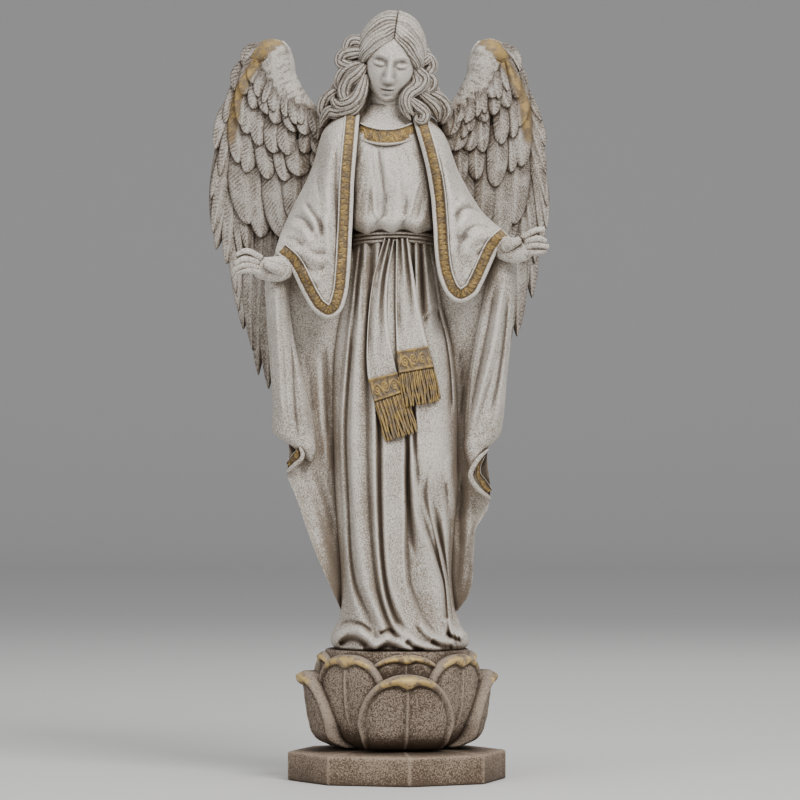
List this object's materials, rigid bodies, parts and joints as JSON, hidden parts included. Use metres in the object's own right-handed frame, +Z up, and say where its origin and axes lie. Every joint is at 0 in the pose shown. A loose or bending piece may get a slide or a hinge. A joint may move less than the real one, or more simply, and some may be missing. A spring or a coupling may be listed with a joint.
{
  "type": "angel garden statue",
  "caption": "Standing draped angel with raised feathered wings and open hands, on a lotus pedestal and an octagonal plinth; cast-stone garden statue that stands on its flat underside.",
  "frame": {"origin": "centre of the plinth's underside, on the ground", "axes": "+Z up; -Y towards the plinth's front corner and the front petal, the side the figure faces; +X to the viewer's right"},
  "size_m": [0.2659, 0.174, 0.6098],
  "materials": {
    "figure_stone": "pale warm grey resin stone with sandy grain, brown wash in the recesses and worn gold on borders, fringes and wing edges",
    "lotus_stone": "coarse brown resin stone with gold on the petal tips",
    "plinth_stone": "coarse brown resin stone with worn paler edges"
  },
  "bodies": {
    "root": {"angel_figure": "figure_stone", "lotus_pedestal": "lotus_stone", "octagonal_plinth": "plinth_stone"}
  },
  "joints": []
}
